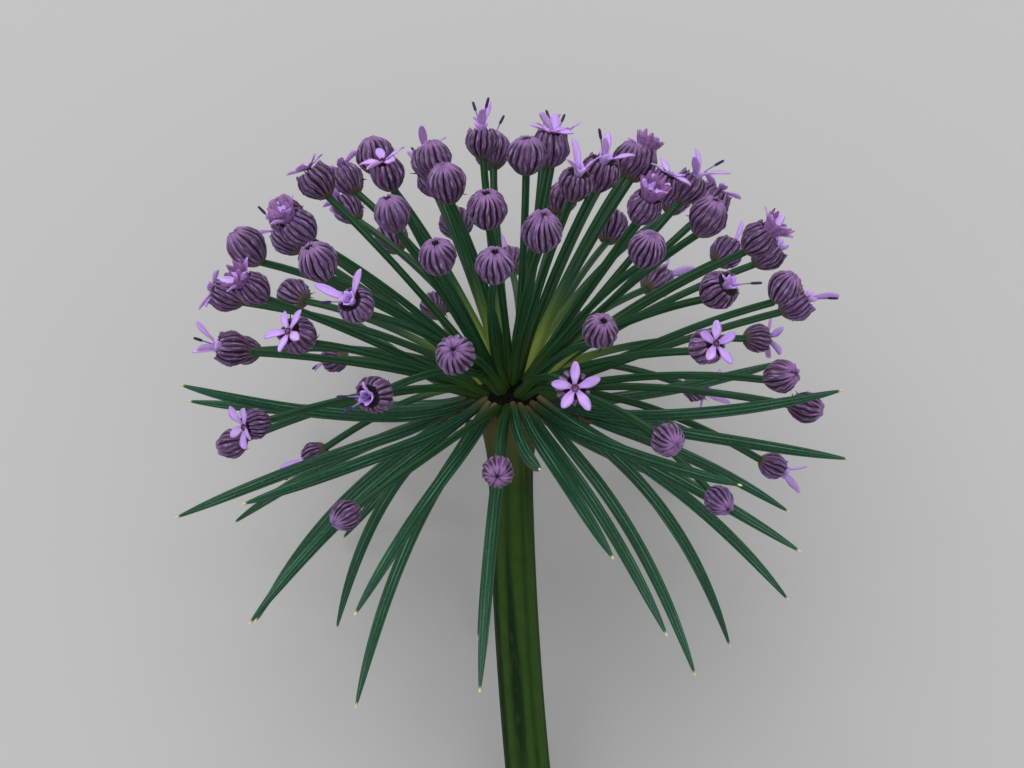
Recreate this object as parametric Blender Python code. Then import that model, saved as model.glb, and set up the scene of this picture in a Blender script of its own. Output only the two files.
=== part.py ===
"""Field garlic flower head, picked with a short stem and lying on a flat surface.

An umbel: a dome of thin rays, each with one ribbed floret at its end, over a ruff of
grooved needle bracts. Metres, +Z up, floor at z = 0. The stem's cut end is towards -Y
and the umbel's top towards +Y. The head rests on three points: the rim of the cut end
and the tips of two bracts. The floor has bent those and the other low ones.

In the plant's own frame +Z runs up the stem, +X is the row's +X, and the middle of the
receptacle is the origin. Polar angles are counted from the umbel's top.
"""

import math
import random

import bmesh
import bpy
import numpy
from mathutils import Matrix, Vector

MM = 0.001
GOLDEN_ANGLE = math.radians(137.508)
SEED = 41

# Pose at rest
REST_TILT = math.radians(33.0)
CROWN = Vector((-0.45, 4.48, 28.4)) * MM
FLOOR_GAP = 0.6 * MM
TOUCH_GAP = 0.3 * MM
BEND_POWER = 1.5
BEND_TRIES = 24

# Stem and receptacle
STEM_LENGTH = 48.6 * MM
STEM_RADIUS = 2.2 * MM
STEM_SWELL = 0.07
STEM_FLARE = 0.5
FLARE_DEPTH = 4.0 * MM
STEM_RIDGES = 9
STEM_GROOVE = 0.1
STEM_LEAN = 2.9 * MM
STEM_STEPS = 7
STEM_CROWDING = 1.5
RECEPTACLE_RADIUS = 3.4 * MM
RECEPTACLE_DENT = 0.12

# Bracts
BRACT_COUNT = 32
BRACT_LENGTH = 34.2 * MM
BRACT_SPARE = 1.2 * MM
BRACT_RADIUS = 0.6 * MM
BRACT_TAPER = 0.8
BRACT_POINT = 5
BRACT_ROOT = math.radians(100.0)
BRACT_SUNK = 0.88
BRACT_HIGHEST = math.radians(81.0)
BRACT_LOWEST = math.radians(142.0)
BRACT_LEVEL = math.radians(100.0)
BRACT_FLARE = 0.45
BRACT_TURN = math.radians(204.0)
BRACT_SIDES = 5
BRACT_STEPS = 5
RESTING_BRACTS = (15, 20)

# Room that a bract looks for between the rays, and how far round the stem it looks
ROOM = 0.8 * MM
NUDGE = math.radians(2.0)
NUDGES = 10
SAMPLE_SPACING = 0.8 * MM

# Rays, in sprays: an even cap of them, and a thin skirt below it
RAY_COUNT = 78
SPRAY_COUNT = 16
UMBEL_CAP = 0.95
UMBEL_SKIRT = 0.45
SKIRT_POWER = 8
RAY_LENGTH = 25.5 * MM
RAY_BULGE = 4.5 * MM
BULGE_POLAR = math.radians(65.0)
RAY_SPARE = 0.9 * MM
RAY_JITTER = math.radians(3.2)
NEAR_TOP = 0.25
RAY_RADIUS = 0.4 * MM
RAY_SIDES = 4
RAY_STEPS = 3
RAY_BEND = 0.4
ROOT_RADIUS = 0.8 * MM
ROOT_SPREAD = 0.8
ROOT_SQUEEZE = 0.75

# Florets: a globe of ribs, with petals and stamens that rise from its mouth
FLORET_RADIUS = 1.8 * MM
FLORET_SIZES = (0.92, 1.08)
LOW_LOSS = 0.3
LOSS_POWER = 6
FLORET_RIBS = 6
GROOVE_DEPTH = 0.14
BASE_TAPER = 0.25
MOUTH = 0.6
PETAL_LENGTH = 3.4 * MM
PETAL_WIDTH = 1.3 * MM
PETAL_SPARE = (0.9, 1.1)
RISE_SPARE = (0.7, 1.2)
PETALS_AHEAD = 1.8
BLADE_THICKNESS = 0.6 * MM
STAMEN_LENGTH = 3.4 * MM
STAMEN_RADIUS = 0.3 * MM
STAMEN_TAPER = 0.6
STAMEN_LEAN = (10, 30)
KINDS = (
    {"name": "bud", "share": 0.42, "petals": (0, 0), "stamens": 0, "rise": 0, "scale": 1.0},
    {"name": "open", "share": 0.40, "petals": (1, 3), "stamens": 1, "rise": 58, "scale": 1.0},
    {"name": "torn", "share": 0.08, "petals": (4, 5), "stamens": 0, "rise": 55, "scale": 0.75},
    {"name": "star", "share": 0.10, "petals": (5, 5), "stamens": 0, "rise": 15, "scale": 0.68},
)

GREEN = (0.035, 0.11, 0.05, 1.0)
PLUM = (0.12, 0.055, 0.13, 1.0)


def direction(polar, azimuth):
    """Unit vector in the plant's frame."""
    across = math.sin(polar)
    return Vector((across * math.cos(azimuth), across * math.sin(azimuth), math.cos(polar)))


def to_row():
    """From the plant's frame to the row's: laid back to REST_TILT, crown over the floor."""
    return Matrix.Translation(CROWN) @ Matrix.Rotation(REST_TILT - math.pi / 2, 4, "X")


def curve(start, middle, end, steps):
    """Points of a bend in the row's frame that leaves start towards middle."""
    points = []
    for step in range(steps + 1):
        t = step / steps
        point = start * (1 - t) ** 2 + middle * (2 * t * (1 - t)) + end * t**2
        points.append(to_row() @ point)
    return points


def lifted(points, radii, gap):
    """Bends a stalk up about its root, most at its tip, until it clears the floor."""
    root, tip = points[0], points[-1]
    axis = (tip - root).cross(Vector((0, 0, 1))).normalized()
    shares = [((point - root).length / (tip - root).length) ** BEND_POWER for point in points]

    def turned(angle):
        turns = [Matrix.Rotation(angle * share, 3, axis) for share in shares]
        return [root + turn @ (point - root) for turn, point in zip(turns, points)]

    def height(angle):
        return min(point.z - radius for point, radius in zip(turned(angle), radii)) - gap

    low, high = 0.0, math.radians(80)
    if height(low) >= 0:
        return points
    for _ in range(BEND_TRIES):
        middle = (low + high) / 2
        if height(middle) < 0:
            low = middle
        else:
            high = middle
    return turned(high)


def umbel_polar(share):
    """Polar angle that this share of the rays lies above."""
    return math.acos(1 - share * (UMBEL_CAP + UMBEL_SKIRT * share**SKIRT_POWER))


def ray_plan(index):
    """Polar angle, azimuth and length of one ray, by the golden angle from the top down."""
    draw = random.Random(SEED * 1000 + index)
    polar = umbel_polar((index + 0.5) / RAY_COUNT)
    azimuth = index * GOLDEN_ANGLE + draw.uniform(-RAY_JITTER, RAY_JITTER) / max(math.sin(polar), NEAR_TOP)
    polar += draw.uniform(-RAY_JITTER, RAY_JITTER)
    length = RAY_LENGTH + RAY_BULGE * math.sin(polar / BULGE_POLAR * math.pi / 2) ** 2
    return polar, azimuth, length + draw.uniform(-RAY_SPARE, RAY_SPARE)


def spray_plan(spray):
    """Polar angle and azimuth of the middle of one spray, by the same rule as its rays."""
    return umbel_polar((spray + 0.5) / SPRAY_COUNT), spray * GOLDEN_ANGLE


def spray_root(spray):
    """Where one spray sits, just clear of the receptacle, and the way it points."""
    polar, azimuth = spray_plan(spray)
    out = direction(polar * ROOT_SQUEEZE, azimuth)
    return out * (RECEPTACLE_RADIUS + TOUCH_GAP + ROOT_RADIUS), out


def ray_line(spray, polar, azimuth, length):
    """One ray's centre line, from its spray's root to the middle of its floret."""
    end = direction(polar, azimuth) * length
    start, out = spray_root(spray)
    start += (end - out * end.dot(out)).normalized() * ROOT_RADIUS * ROOT_SPREAD
    middle = start + (out + 2 * end.normalized()).normalized() * (end - start).length * RAY_BEND
    line = curve(start, middle, end, RAY_STEPS)
    reach = (line[-1] - line[-2]).normalized() * (FLORET_RADIUS + PETAL_LENGTH / 2)
    radii = [RAY_RADIUS] * RAY_STEPS + [FLORET_RADIUS, PETAL_WIDTH / 2]
    return lifted(line + [line[-1] + reach], radii, FLOOR_GAP)[:-1]


def plan_sprays():
    """Each spray's rays, as pairs of the ray's number and its centre line."""
    middles = [direction(*spray_plan(spray)) for spray in range(SPRAY_COUNT)]
    sprays = [[] for _ in middles]
    for index in range(RAY_COUNT):
        polar, azimuth, length = ray_plan(index)
        nearest = max(range(SPRAY_COUNT), key=lambda spray: middles[spray].dot(direction(polar, azimuth)))
        sprays[nearest].append((index, ray_line(nearest, polar, azimuth, length)))
    return sprays


def filled(line, radius):
    """Points spaced along a line, each with the radius that is full round it."""
    rows = []
    for a, b in zip(line, line[1:]):
        steps = math.ceil((b - a).length / SAMPLE_SPACING)
        rows += [(*a.lerp(b, i / steps), radius) for i in range(steps)]
    return rows


def room(rows, others):
    """The least gap between two sets of such points."""
    here, there = numpy.array(rows), numpy.array(others)
    apart = numpy.linalg.norm(here[:, None, :3] - there[None, :, :3], axis=2)
    return (apart - here[:, None, 3] - there[None, :, 3]).min()


def taken_by(sprays):
    """The space that the rays, their florets and the spray roots fill."""
    rows = []
    for spray, rays in enumerate(sprays):
        rows.append((*(to_row() @ spray_root(spray)[0]), ROOT_RADIUS))
        for _, line in rays:
            petals = line[-1] + (line[-1] - line[-2]).normalized() * FLORET_RADIUS * PETALS_AHEAD
            rows += filled(line, RAY_RADIUS)
            rows += [(*line[-1], FLORET_RADIUS), (*petals, FLORET_RADIUS)]
    return rows


def bract_line(index, nudge):
    """One bract's centre line and radii, with its azimuth moved on by nudge."""
    draw = random.Random(SEED * 3000 + index)
    share = (index + 0.5) / BRACT_COUNT
    polar = BRACT_HIGHEST + (BRACT_LOWEST - BRACT_HIGHEST) * share
    azimuth = BRACT_TURN + index * GOLDEN_ANGLE + nudge
    length = BRACT_LENGTH + draw.uniform(-BRACT_SPARE, BRACT_SPARE)
    start = direction(BRACT_ROOT, azimuth) * RECEPTACLE_RADIUS * BRACT_SUNK
    leave = BRACT_LEVEL + (polar - BRACT_LEVEL) * BRACT_FLARE
    middle = start + direction(leave, azimuth) * length * BRACT_FLARE
    line = curve(start, middle, direction(polar, azimuth) * length, BRACT_STEPS)
    along = [i / BRACT_STEPS for i in range(BRACT_STEPS + 1)]
    radii = [BRACT_RADIUS * (1 - BRACT_TAPER * way**BRACT_POINT) for way in along]
    return lifted(line, radii, 0.0 if index in RESTING_BRACTS else FLOOR_GAP), radii


def plan_bracts(sprays):
    """All bracts, each swung round the stem until it misses the rays and the others."""
    taken = taken_by(sprays)
    nudges = [NUDGE * step * side for step in range(NUDGES) for side in (1, -1)]
    chosen = []
    for index in range(BRACT_COUNT):
        rooms = {}
        for nudge in nudges:
            line, _ = bract_line(index, nudge)
            rooms[nudge] = min(room(filled(line[1:], BRACT_RADIUS), taken), ROOM)
        widest = max(nudges, key=lambda nudge: (round(rooms[nudge], 5), -abs(nudge)))
        chosen.append(bract_line(index, widest))
        taken += filled(chosen[-1][0][1:], BRACT_RADIUS)
    return chosen


def floret_plan(index):
    """Size and spin of one floret, its petals by turn, rise and length, its stamens by turn and lean."""
    draw = random.Random(SEED * 2000 + index)
    size, spin = draw.uniform(*FLORET_SIZES), draw.uniform(0, math.pi)
    size *= 1 - LOW_LOSS * (index / RAY_COUNT) ** LOSS_POWER
    kind = draw.choices(KINDS, [kind["share"] for kind in KINDS])[0]
    count = draw.randint(*kind["petals"])
    petals, stamens = [], []
    for number in range(count):
        rise = math.radians(kind["rise"] * draw.uniform(*RISE_SPARE))
        length = PETAL_LENGTH * kind["scale"] * draw.uniform(*PETAL_SPARE)
        petals.append((spin + number * 2 * math.pi / max(count, 3), rise, length))
    for _ in range(draw.randint(0, kind["stamens"])):
        stamens.append((draw.uniform(0, 2 * math.pi), math.radians(draw.uniform(*STAMEN_LEAN))))
    return size, spin, petals, stamens


def place(point, axis, spin=0.0):
    """A matrix at point with Z along axis, turned about it by spin."""
    turn = axis.to_track_quat("Z", "Y").to_matrix().to_4x4()
    return Matrix.Translation(point) @ turn @ Matrix.Rotation(spin, 4, "Z")


def tube(points, radii, sides, groove=0.0):
    """A closed tube along points: a circle, extruded and turned square to each point."""
    bm = bmesh.new()
    ring = bmesh.ops.create_circle(bm, segments=sides, radius=1)["verts"]
    for vert in ring[1::2]:
        vert.co *= 1 - groove
    side = (points[1] - points[0]).orthogonal().normalized()
    before = Matrix.Identity(4)
    for i, point in enumerate(points):
        ahead = (points[min(i + 1, len(points) - 1)] - points[max(i - 1, 0)]).normalized()
        side = (side - ahead * side.dot(ahead)).normalized()
        turn = Matrix((side, ahead.cross(side), ahead)).transposed().to_4x4()
        after = Matrix.Translation(point) @ turn @ Matrix.Scale(radii[i], 4)
        if i:
            edges = [edge for edge in bm.edges if edge.verts[0] in ring and edge.verts[1] in ring]
            made = bmesh.ops.extrude_edge_only(bm, edges=edges)["geom"]
            ring = [item for item in made if isinstance(item, bmesh.types.BMVert)]
        bmesh.ops.transform(bm, matrix=after @ before.inverted(), verts=ring)
        before = after
    bmesh.ops.holes_fill(bm, edges=bm.edges[:], sides=sides)
    bmesh.ops.recalc_face_normals(bm, faces=bm.faces[:])
    return bm


def stem():
    """The ridged stem, flared under the receptacle and a little thicker at its cut end."""
    points, radii = [], []
    for step in range(STEM_STEPS + 1):
        t = (step / STEM_STEPS) ** STEM_CROWDING
        depth = STEM_LENGTH * t
        flare = STEM_FLARE * math.exp(-((depth / FLARE_DEPTH) ** 2))
        points.append(to_row() @ Vector((STEM_LEAN * t**2, 0, -depth)))
        radii.append(STEM_RADIUS * (1 + flare + STEM_SWELL * t))
    return tube(points, radii, 2 * STEM_RIDGES, STEM_GROOVE)


def receptacle():
    """The crown at the stem's top, with dents between the seats of sprays and bracts."""
    bm = bmesh.new()
    bmesh.ops.create_uvsphere(bm, u_segments=12, v_segments=6, radius=RECEPTACLE_RADIUS)
    for vert in bm.verts:
        azimuth, polar = math.atan2(vert.co.y, vert.co.x), vert.co.angle(Vector((0, 0, 1)))
        vert.co *= 1 - RECEPTACLE_DENT * (math.sin(3 * azimuth) * math.sin(2 * polar)) ** 2
    bm.transform(to_row())
    return bm


def spray_seat(spray):
    """The knob on which one spray's rays are joined."""
    bm = bmesh.new()
    bmesh.ops.create_uvsphere(bm, u_segments=7, v_segments=3, radius=ROOT_RADIUS)
    bm.transform(to_row() @ place(*spray_root(spray)))
    return bm


def ribbed_globe(radius):
    """A floret's globe: ribs and grooves by turns round it, flat at its mouth and base."""
    bm = bmesh.new()
    bmesh.ops.create_uvsphere(bm, u_segments=2 * FLORET_RIBS, v_segments=5, radius=radius)
    bmesh.ops.dissolve_verts(bm, verts=[vert for vert in bm.verts if abs(vert.co.z) > radius * 0.99])
    for vert in bm.verts:
        groove = round(math.atan2(vert.co.y, vert.co.x) * FLORET_RIBS / math.pi) % 2
        across = (1 - GROOVE_DEPTH * groove) * (1 + BASE_TAPER * min(vert.co.z, 0) / radius)
        vert.co.x *= across
        vert.co.y *= across
    return bm


def petal(length):
    """A narrow petal along +X, widest past its middle."""
    bm = bmesh.new()
    bmesh.ops.create_uvsphere(bm, u_segments=4, v_segments=2, radius=0.5)
    for vert in bm.verts:
        if abs(vert.co.x) < 0.1:
            vert.co.x += 0.15
    shape = Matrix.Diagonal((length, PETAL_WIDTH, BLADE_THICKNESS, 1.0))
    bm.transform(Matrix.Translation((length / 2, 0, 0)) @ shape)
    return bm


def stamen():
    """A thin spike up +Z."""
    bm = bmesh.new()
    tip = STAMEN_RADIUS * STAMEN_TAPER
    bmesh.ops.create_cone(
        bm, cap_ends=True, segments=3, radius1=STAMEN_RADIUS, radius2=tip, depth=STAMEN_LENGTH
    )
    bm.transform(Matrix.Translation((0, 0, STAMEN_LENGTH / 2)))
    return bm


def floret(line, index):
    """The parts of one floret, on the end of its ray."""
    size, spin, petals, stamens = floret_plan(index)
    axis = (line[-1] - line[-2]).normalized()
    mouth = place(line[-1] + axis * FLORET_RADIUS * size * MOUTH, axis)
    parts = [ribbed_globe(FLORET_RADIUS * size)]
    parts[0].transform(place(line[-1], axis, spin))
    for turn, rise, length in petals:
        blade = petal(length)
        blade.transform(mouth @ Matrix.Rotation(turn, 4, "Z") @ Matrix.Rotation(-rise, 4, "Y"))
        parts.append(blade)
    for turn, lean in stamens:
        spike = stamen()
        spike.transform(mouth @ Matrix.Rotation(turn, 4, "Z") @ Matrix.Rotation(lean, 4, "Y"))
        parts.append(spike)
    return parts


def finish(name, colour, roughness):
    """A Principled material of one colour."""
    material = bpy.data.materials.new(name)
    material.use_nodes = True
    shader = material.node_tree.nodes["Principled BSDF"]
    shader.inputs["Base Color"].default_value = colour
    shader.inputs["Roughness"].default_value = roughness
    shader.inputs["Metallic"].default_value = 0.0
    return material


def fused(name, parts, material):
    """One object from overlapping closed parts, joined by one Boolean union."""
    others = bpy.data.collections.new(name + "_parts")
    objects = []
    for part in parts:
        mesh = bpy.data.meshes.new(name)
        part.to_mesh(mesh)
        part.free()
        objects.append(bpy.data.objects.new(name, mesh))
    bpy.context.scene.collection.objects.link(objects[0])
    for item in objects[1:]:
        others.objects.link(item)
    union = objects[0].modifiers.new("union", "BOOLEAN")
    union.operation = "UNION"
    union.operand_type = "COLLECTION"
    union.collection = others
    union.solver = "EXACT"
    graph = bpy.context.evaluated_depsgraph_get()
    whole = bpy.data.meshes.new_from_object(objects[0].evaluated_get(graph))
    for item in objects:
        bpy.data.objects.remove(item)
    bpy.data.collections.remove(others)
    whole.materials.clear()
    whole.materials.append(material)
    made = bpy.data.objects.new(name, whole)
    bpy.context.scene.collection.objects.link(made)


def main():
    for item in list(bpy.data.objects):
        bpy.data.objects.remove(item)
    sprays = plan_sprays()
    green = [stem(), receptacle()]
    for line, radii in plan_bracts(sprays):
        green.append(tube(line, radii, BRACT_SIDES))
    fused("scape_and_bracts", green, finish("scape_and_bracts", GREEN, 0.55))
    for spray, rays in enumerate(sprays):
        parts = [spray_seat(spray)]
        for index, line in rays:
            parts.append(tube(line, [RAY_RADIUS] * len(line), RAY_SIDES))
            parts += floret(line, index)
        name = f"spray_{spray + 1:02}"
        fused(name, parts, finish(name, PLUM, 0.6))


main()
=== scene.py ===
"""The looks of a field garlic flower head that was picked and laid on a pale surface.

Metres, +Z up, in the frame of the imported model.
"""

import math
import random

import bmesh
import bpy
from mathutils import Matrix, Vector, noise


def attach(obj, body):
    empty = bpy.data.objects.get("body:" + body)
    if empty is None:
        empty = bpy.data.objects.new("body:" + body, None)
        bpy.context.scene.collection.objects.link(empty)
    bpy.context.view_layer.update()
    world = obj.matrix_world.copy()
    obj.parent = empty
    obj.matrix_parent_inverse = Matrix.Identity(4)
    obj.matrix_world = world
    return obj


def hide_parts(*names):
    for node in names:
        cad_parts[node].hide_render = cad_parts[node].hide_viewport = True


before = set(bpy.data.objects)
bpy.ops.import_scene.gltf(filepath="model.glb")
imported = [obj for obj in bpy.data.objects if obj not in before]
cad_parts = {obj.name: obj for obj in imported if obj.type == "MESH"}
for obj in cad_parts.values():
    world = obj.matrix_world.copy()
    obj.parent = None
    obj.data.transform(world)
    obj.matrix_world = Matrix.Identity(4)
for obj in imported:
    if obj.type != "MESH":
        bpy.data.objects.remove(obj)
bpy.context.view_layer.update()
MM = 0.001

# How the head lies
# It grew with its stem upright, so each part is worked out that way, round the middle of the
# receptacle, and tipped back with the rest. It lies on its cut end and on the tips of two bracts.
REST_TILT = math.radians(33.0)
CROWN = Vector((-0.45, 4.48, 28.4)) * MM
LAID = Matrix.Translation(CROWN) @ Matrix.Rotation(REST_TILT - math.pi / 2, 4, "X")


def direction(polar, azimuth):
    """Unit vector on the upright plant: polar is counted from the umbel's top."""
    across = math.sin(polar)
    return Vector((across * math.cos(azimuth), across * math.sin(azimuth), math.cos(polar)))


# Camera
# It looks at the head from a little above its bracts, as the photograph does. The head lies on its
# back, so the camera looks down on it.
CAMERA_RISE = math.radians(12)
CAMERA_DISTANCE = 300 * MM
CAMERA_LENS = 105.5
AIM = Vector((0.2, 1.9, 0)) * MM

looks_from = LAID.to_3x3() @ direction(math.pi / 2 - CAMERA_RISE, -math.pi / 2)
camera_up = LAID.to_3x3() @ direction(CAMERA_RISE, math.pi / 2)
camera_turn = Matrix((Vector((1, 0, 0)), camera_up, looks_from)).transposed()
camera = bpy.data.objects.new("camera", bpy.data.cameras.new("camera"))
camera.data.lens = CAMERA_LENS
camera.data.clip_start = 10 * MM
camera.matrix_world = camera_turn.to_4x4()
camera.location = CROWN + camera_turn @ AIM + looks_from * CAMERA_DISTANCE
bpy.context.scene.collection.objects.link(camera)
bpy.context.scene.camera = camera

# Stem
# One ridged stalk of waxy olive tissue that was cut square. It flares where it grew into the
# receptacle, and the cut shows pale pith inside a green rind.
STEM_LENGTH = 48.6 * MM
STEM_RADIUS = 2.2 * MM
STEM_SWELL = 0.07
STEM_FLARE = 0.5
FLARE_DEPTH = 4.0 * MM
STEM_RIDGES = 9
STEM_GROOVE = 0.05
STEM_LEAN = 2.9 * MM
STEM_SIDES = 8 * STEM_RIDGES
STEM_STEPS = 60
RIND = 0.3 * MM
PITH_DEPTH = 0.15 * MM
CREASE = math.radians(50)
TINT_SHIFT = 400


def shade(red, green, blue):
    """A colour as a screen shows it, 0 to 255, in the linear numbers that a shader takes."""
    return tuple((part / 255) ** 2.2 for part in (red, green, blue)) + (1.0,)


def new_body():
    """An empty mesh whose points can say where they are on their own part, how far along it, how
    deep in a groove, which on a globe is also how deep in painted shade, and what tint the part
    has, for the skins to read."""
    bm = bmesh.new()
    bm.verts.layers.float_vector.new("local")
    for name in ("along", "groove", "tint"):
        bm.verts.layers.float.new(name)
    return bm


def mark(bm, vert, local, along, groove, tint):
    """Writes on a point what the skins read there."""
    vert[bm.verts.layers.float_vector["local"]] = local
    vert[bm.verts.layers.float["along"]] = along
    vert[bm.verts.layers.float["groove"]] = groove
    vert[bm.verts.layers.float["tint"]] = tint


def first_ring(bm, sides):
    """A circle round the origin, 1 in radius, whose points note their places. Gives them and its
    edges."""
    ring = bmesh.ops.create_circle(bm, segments=sides, radius=1)["verts"]
    for vert in ring:
        vert[bm.verts.layers.float_vector["local"]] = vert.co
    return ring, list(dict.fromkeys(edge for vert in ring for edge in vert.link_edges))


def next_ring(bm, rim):
    """Extrudes the edges of a ring, and gives the new ring's points and edges."""
    made = bmesh.ops.extrude_edge_only(bm, edges=rim)["geom"]
    ring = [item for item in made if isinstance(item, bmesh.types.BMVert)]
    edges = [item for item in made if isinstance(item, bmesh.types.BMEdge)]
    fresh = set(ring)
    return ring, [edge for edge in edges if fresh.issuperset(edge.verts)]


def grow_stalk(bm, points, radii, sides, ridges=0, groove=0.0, tint=0.0):
    """A circle, extruded along points and turned square to each, with ridges round it. Its tint also
    moves the patterns along it, so that no two bracts match. Gives the faces that close its ends."""
    local = bm.verts.layers.float_vector["local"]
    ring, rim = first_ring(bm, sides)
    ends = bmesh.ops.edgeloop_fill(bm, edges=rim)["faces"]
    side = (points[1] - points[0]).orthogonal().normalized()
    distance = 0.0
    for i, point in enumerate(points):
        if i:
            ring, rim = next_ring(bm, rim)
            distance += (point - points[i - 1]).length / MM
        ahead = (points[min(i + 1, len(points) - 1)] - points[max(i - 1, 0)]).normalized()
        side = (side - ahead * side.dot(ahead)).normalized()
        for vert in ring:
            x, y, _ = vert[local]
            deep = 1 - abs(math.cos(ridges * math.atan2(x, y) / 2))
            vert.co = point + (side * x + ahead.cross(side) * y) * radii[i] * (1 - groove * deep**2)
            spot = (x, y, distance + TINT_SHIFT * tint)
            mark(bm, vert, spot, i / (len(points) - 1), deep, tint)
    return ends + bmesh.ops.edgeloop_fill(bm, edges=rim)["faces"]


def add_piece(name, bm, skins, slot, *nodes):
    """Puts a finished mesh into the scene, in place of the nodes that it stands for."""
    bmesh.ops.recalc_face_normals(bm, faces=bm.faces[:])
    mesh = bpy.data.meshes.new(name)
    bm.to_mesh(mesh)
    bm.free()
    mesh.shade_smooth()
    mesh.set_sharp_from_angle(angle=CREASE)
    for skin in skins:
        mesh.materials.append(skin.material)
    piece = bpy.data.objects.new(name, mesh)
    bpy.context.scene.collection.objects.link(piece)
    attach(piece, "root")
    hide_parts(*nodes)
    return piece


class Skin:
    """A finish in the making: one material's shader, the colour that it has so far, and the
    patterns that feed them."""

    def __init__(self, name, **sockets):
        self.material = bpy.data.materials.new(name)
        self.material.use_nodes = True
        self.tree = self.material.node_tree
        self.shader = self.tree.nodes["Principled BSDF"]
        self.colour = None
        for socket, value in sockets.items():
            self.shader.inputs[socket.replace("_", " ")].default_value = value

    def node(self, kind, inputs, output=0, **settings):
        """Adds a node, fills its inputs with values or with other nodes' outputs, gives an output."""
        made = self.tree.nodes.new("ShaderNode" + kind)
        for setting, value in settings.items():
            setattr(made, setting, value)
        for key, value in inputs.items():
            if isinstance(value, bpy.types.NodeSocket):
                self.tree.links.new(value, made.inputs[key])
            else:
                made.inputs[key].default_value = value
        return made.outputs[output]

    def mark(self, name):
        """A number that the mesh has at each point, under one of new_body's names."""
        return self.node("Attribute", {}, "Fac", attribute_name=name)

    def grain(self, scale, stretch, detail=3.0):
        """A soft noise in the part's own space, drawn out where stretch is small."""
        places = self.node("Attribute", {}, "Vector", attribute_name="local")
        drawn = self.node("Mapping", {"Vector": places, "Scale": stretch})
        return self.node("TexNoise", {"Vector": drawn, "Scale": scale, "Detail": detail})

    def reach(self, value, start, end, low=0.0, high=1.0):
        """Value stretched so that start to end becomes low to high, and held there."""
        limits = {"From Min": start, "From Max": end, "To Min": low, "To Max": high}
        return self.node("MapRange", {"Value": value, **limits}, interpolation_type="SMOOTHSTEP")

    def join(self, way, first, second):
        """Two numbers made one, in a way that a Math node has."""
        return self.node("Math", {0: first, 1: second}, operation=way)

    def blend(self, share, under, over):
        """The colour over laid on the colour under, by a share from 0 to 1."""
        return self.node("Mix", {0: share, 6: under, 7: over}, 2, data_type="RGBA")

    def lay(self, value, start, end, share, over):
        """Lays a colour on the skin's own, from none of it where value is start to share at end."""
        self.colour = self.blend(self.reach(value, start, end, 0, share), self.colour, over)

    def wear(self, roughness, height, depth):
        """Connects the skin's colour, a roughness and a relief of so many metres to the shader."""
        bump = self.node("Bump", {"Height": height, "Distance": depth})
        for socket, value in (("Base Color", self.colour), ("Roughness", roughness), ("Normal", bump)):
            self.tree.links.new(value, self.shader.inputs[socket])


def stem_way(depth):
    """A point on the stem's centre line, which leans a little, so far below the crown."""
    return LAID @ Vector((STEM_LEAN * (depth / STEM_LENGTH) ** 2, 0, -depth))


def stem_radius(depth):
    """The stem's radius so far below the crown."""
    flare = STEM_FLARE * math.exp(-((depth / FLARE_DEPTH) ** 2))
    return STEM_RADIUS * (1 + flare + STEM_SWELL * depth / STEM_LENGTH)


stem_skin = Skin("stem_skin", Specular_IOR_Level=0.12)
furrow = stem_skin.reach(stem_skin.mark("groove"), 0.1, 0.9, 0, 0.5)
stripe = stem_skin.reach(stem_skin.grain(1.3, (1, 1, 0.02), 1.0), 0.42, 0.6)
fibre = stem_skin.grain(9.0, (1, 1, 0.06), 4.0)
blotch = stem_skin.grain(1.5, (1, 1, 0.5))
dark = stem_skin.join("MAXIMUM", furrow, stripe)
stem_skin.colour = stem_skin.blend(dark, shade(46, 74, 24), shade(10, 36, 2))
stem_skin.lay(fibre, 0.45, 0.75, 0.35, shade(62, 82, 48))
stem_skin.lay(blotch, 0.4, 0.75, 0.35, shade(42, 52, 20))
stem_skin.lay(stem_skin.mark("along"), 0.17, 0.03, 0.8, shade(86, 78, 44))
stem_skin.wear(stem_skin.reach(fibre, 0.3, 0.7, 0.42, 0.62), fibre, 0.06 * MM)

pith_skin = Skin("pith_skin", Specular_IOR_Level=0.3, Subsurface_Weight=0.2, Subsurface_Scale=0.5 * MM)
places = pith_skin.node("TexCoord", {}, "Object")
cells = pith_skin.node("TexVoronoi", {"Vector": places, "Scale": 3200.0})
walls = pith_skin.reach(cells, 0.0, 0.6)
pith_skin.colour = pith_skin.blend(walls, shade(196, 204, 150), shade(150, 168, 92))
pith_skin.wear(pith_skin.reach(cells, 0, 0.6, 0.5, 0.75), cells, 0.08 * MM)

stem = new_body()
depths = [STEM_LENGTH * step / STEM_STEPS for step in range(STEM_STEPS + 1)]
stem_points = [stem_way(depth) for depth in depths]
stem_radii = [stem_radius(depth) for depth in depths]
_, cut = grow_stalk(stem, stem_points, stem_radii, STEM_SIDES, STEM_RIDGES, STEM_GROOVE)
bmesh.ops.inset_region(stem, faces=[cut], thickness=RIND)
sunk = (stem_points[-2] - stem_points[-1]).normalized() * PITH_DEPTH
bmesh.ops.translate(stem, vec=sunk, verts=cut.verts)
cut.material_index = 1
add_piece("scape", stem, [stem_skin, pith_skin], "green_stalk", "scape_and_bracts")
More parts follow.
